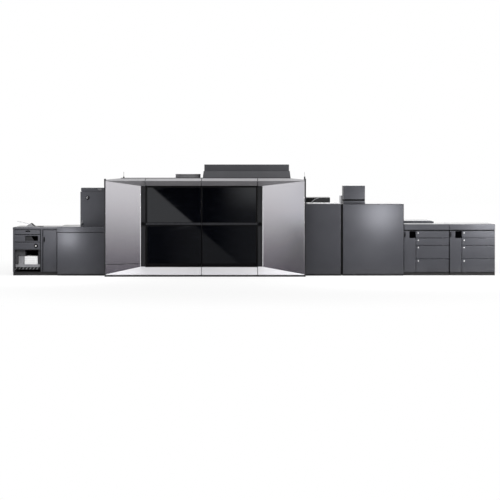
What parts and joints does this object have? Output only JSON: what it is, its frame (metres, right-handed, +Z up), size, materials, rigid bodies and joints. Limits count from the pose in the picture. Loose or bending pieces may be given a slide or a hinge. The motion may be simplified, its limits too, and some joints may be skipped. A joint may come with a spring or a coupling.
{
  "type": "sheet-fed digital printing press",
  "caption": "Long line of docked press modules: stacker, dryer with tower, glass-fronted print engine in a silver funnel frame, conditioning cabinets and paper feeders with drawers.",
  "frame": {"origin": "on the floor under the middle of the line's box", "axes": "+X along the line from stacker to feeders, -Y out of the front, +Z up"},
  "size_m": [9.78, 1.6, 2.252],
  "materials": {
    "anthracite_cover": "satin metallic paint",
    "silver_cover": "satin silver paint",
    "black_glass": "polished opaque black",
    "black_panel": "matte black paint",
    "charcoal_trim": "satin charcoal paint",
    "plinth_paint": "matte black paint",
    "inner_sheet": "zinc-plated sheet",
    "pale_plastic": "smooth pale plastic",
    "paper": "cut sheet edges",
    "roof_paint": "satin metallic paint"
  },
  "bodies": {
    "press": {"air_unit_base": "roof_paint", "air_unit_hood": "roof_paint", "bridge_cover": "anthracite_cover", "conditioner_body": "anthracite_cover", "console_screen": "black_glass", "door_pivots": "inner_sheet", "drawer_runners": "inner_sheet", "dryer_body": "anthracite_cover", "dryer_lid": "anthracite_cover", "eject_button": "pale_plastic", "engine_body": "anthracite_cover", "engine_inner_cover": "charcoal_trim", "engine_roof": "silver_cover", "engine_side_panels": "charcoal_trim", "exhaust_spigot": "inner_sheet", "exit_chute": "charcoal_trim", "feeder_lids": "anthracite_cover", "feeder_pillars": "charcoal_trim", "feeder_walls": "anthracite_cover", "frame_lower_covers": "silver_cover", "frame_side_covers": "silver_cover", "frame_upper_covers": "silver_cover", "front_covers": "anthracite_cover", "hinge_posts": "charcoal_trim", "jog_dial": "charcoal_trim", "operator_console": "charcoal_trim", "plinths": "plinth_paint", "rear_covers": "anthracite_cover", "register_body": "anthracite_cover", "roof_box": "anthracite_cover", "roof_duct": "inner_sheet", "sheet_exit_panel": "anthracite_cover", "sheet_stack": "paper", "signal_lamps": "pale_plastic", "stack_guide": "inner_sheet", "stack_table": "inner_sheet", "stacker_front_panels": "anthracite_cover", "stacker_inner_blocks": "charcoal_trim", "stacker_lid": "anthracite_cover", "stacker_shelf": "charcoal_trim", "stacker_walls": "anthracite_cover", "top_exit_hood": "charcoal_trim", "top_exit_tray": "inner_sheet", "tower_body": "anthracite_cover", "tower_lid": "anthracite_cover"},
    "left_door": {"left_door_panel": "black_panel", "left_door_glass": "black_glass"},
    "right_door": {"right_door_panel": "black_panel", "right_door_glass": "black_glass"},
    "stacker_door": {"stacker_door_leaf": "anthracite_cover"},
    "feeder_1_access_door": {"feeder_1_door": "anthracite_cover"},
    "feeder_1_tray_1": {"feeder_1_drawer_1": "anthracite_cover"},
    "feeder_1_tray_2": {"feeder_1_drawer_2": "anthracite_cover"},
    "feeder_1_tray_3": {"feeder_1_drawer_3": "anthracite_cover"},
    "feeder_1_tray_4": {"feeder_1_drawer_4": "anthracite_cover"},
    "feeder_2_access_door": {"feeder_2_door": "anthracite_cover"},
    "feeder_2_tray_1": {"feeder_2_drawer_1": "anthracite_cover"},
    "feeder_2_tray_2": {"feeder_2_drawer_2": "anthracite_cover"},
    "feeder_2_tray_3": {"feeder_2_drawer_3": "anthracite_cover"},
    "feeder_2_tray_4": {"feeder_2_drawer_4": "anthracite_cover"}
  },
  "joints": [
    {"name": "left_door_hinge", "type": "hinge", "parent": "press", "child": "left_door", "pos_m": [-2.173, -0.584, 1.0015], "axis": [0, 0, -1], "range_deg": [0, 100]},
    {"name": "right_door_hinge", "type": "hinge", "parent": "press", "child": "right_door", "pos_m": [0.063, -0.584, 1.0015], "axis": [0, 0, 1], "range_deg": [0, 100]},
    {"name": "stacker_door_hinge", "type": "hinge", "parent": "press", "child": "stacker_door", "pos_m": [-4.005, -0.41, 0.489], "axis": [0, 0, 1], "range_deg": [0, 90]},
    {"name": "feeder_1_door_hinge", "type": "hinge", "parent": "press", "child": "feeder_1_access_door", "pos_m": [3.272, -0.41, 0.52], "axis": [0, 0, 1], "range_deg": [0, 90]},
    {"name": "feeder_1_drawer_4_slide", "type": "slide", "parent": "press", "child": "feeder_1_tray_4", "axis": [0, -1, 0], "range_m": [0, 0.55]},
    {"name": "feeder_1_drawer_3_slide", "type": "slide", "parent": "press", "child": "feeder_1_tray_3", "axis": [0, -1, 0], "range_m": [0, 0.55]},
    {"name": "feeder_1_drawer_2_slide", "type": "slide", "parent": "press", "child": "feeder_1_tray_2", "axis": [0, -1, 0], "range_m": [0, 0.55]},
    {"name": "feeder_1_drawer_1_slide", "type": "slide", "parent": "press", "child": "feeder_1_tray_1", "axis": [0, -1, 0], "range_m": [0, 0.55]},
    {"name": "feeder_2_door_hinge", "type": "hinge", "parent": "press", "child": "feeder_2_access_door", "pos_m": [4.202, -0.41, 0.52], "axis": [0, 0, 1], "range_deg": [0, 90]},
    {"name": "feeder_2_drawer_4_slide", "type": "slide", "parent": "press", "child": "feeder_2_tray_4", "axis": [0, -1, 0], "range_m": [0, 0.55]},
    {"name": "feeder_2_drawer_3_slide", "type": "slide", "parent": "press", "child": "feeder_2_tray_3", "axis": [0, -1, 0], "range_m": [0, 0.55]},
    {"name": "feeder_2_drawer_2_slide", "type": "slide", "parent": "press", "child": "feeder_2_tray_2", "axis": [0, -1, 0], "range_m": [0, 0.55]},
    {"name": "feeder_2_drawer_1_slide", "type": "slide", "parent": "press", "child": "feeder_2_tray_1", "axis": [0, -1, 0], "range_m": [0, 0.55]}
  ]
}
